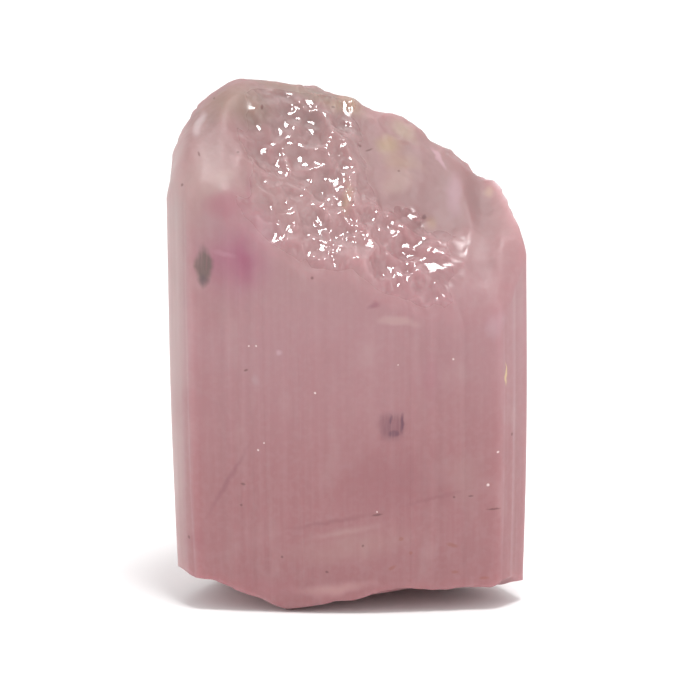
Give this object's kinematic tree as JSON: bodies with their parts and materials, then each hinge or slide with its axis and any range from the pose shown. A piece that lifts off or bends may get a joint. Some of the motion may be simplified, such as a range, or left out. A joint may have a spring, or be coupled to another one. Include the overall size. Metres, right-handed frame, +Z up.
{
  "type": "rough tourmaline crystal",
  "caption": "Rough pink tourmaline: a stubby rounded-triangular prism with fine upright striations, a hackly broken top and a flat foot that it stands on.",
  "frame": {"origin": "middle of the bounding box in X and Y, at the level of the flat foot that the crystal stands on", "axes": "+Z up along the crystal's long axis, -Y out of its broad front face, +X to the right as seen from the front"},
  "size_m": [0.0168, 0.0124, 0.0242],
  "materials": {
    "tourmaline": "gloss"
  },
  "bodies": {
    "root": {"crystal": "tourmaline"}
  },
  "joints": []
}
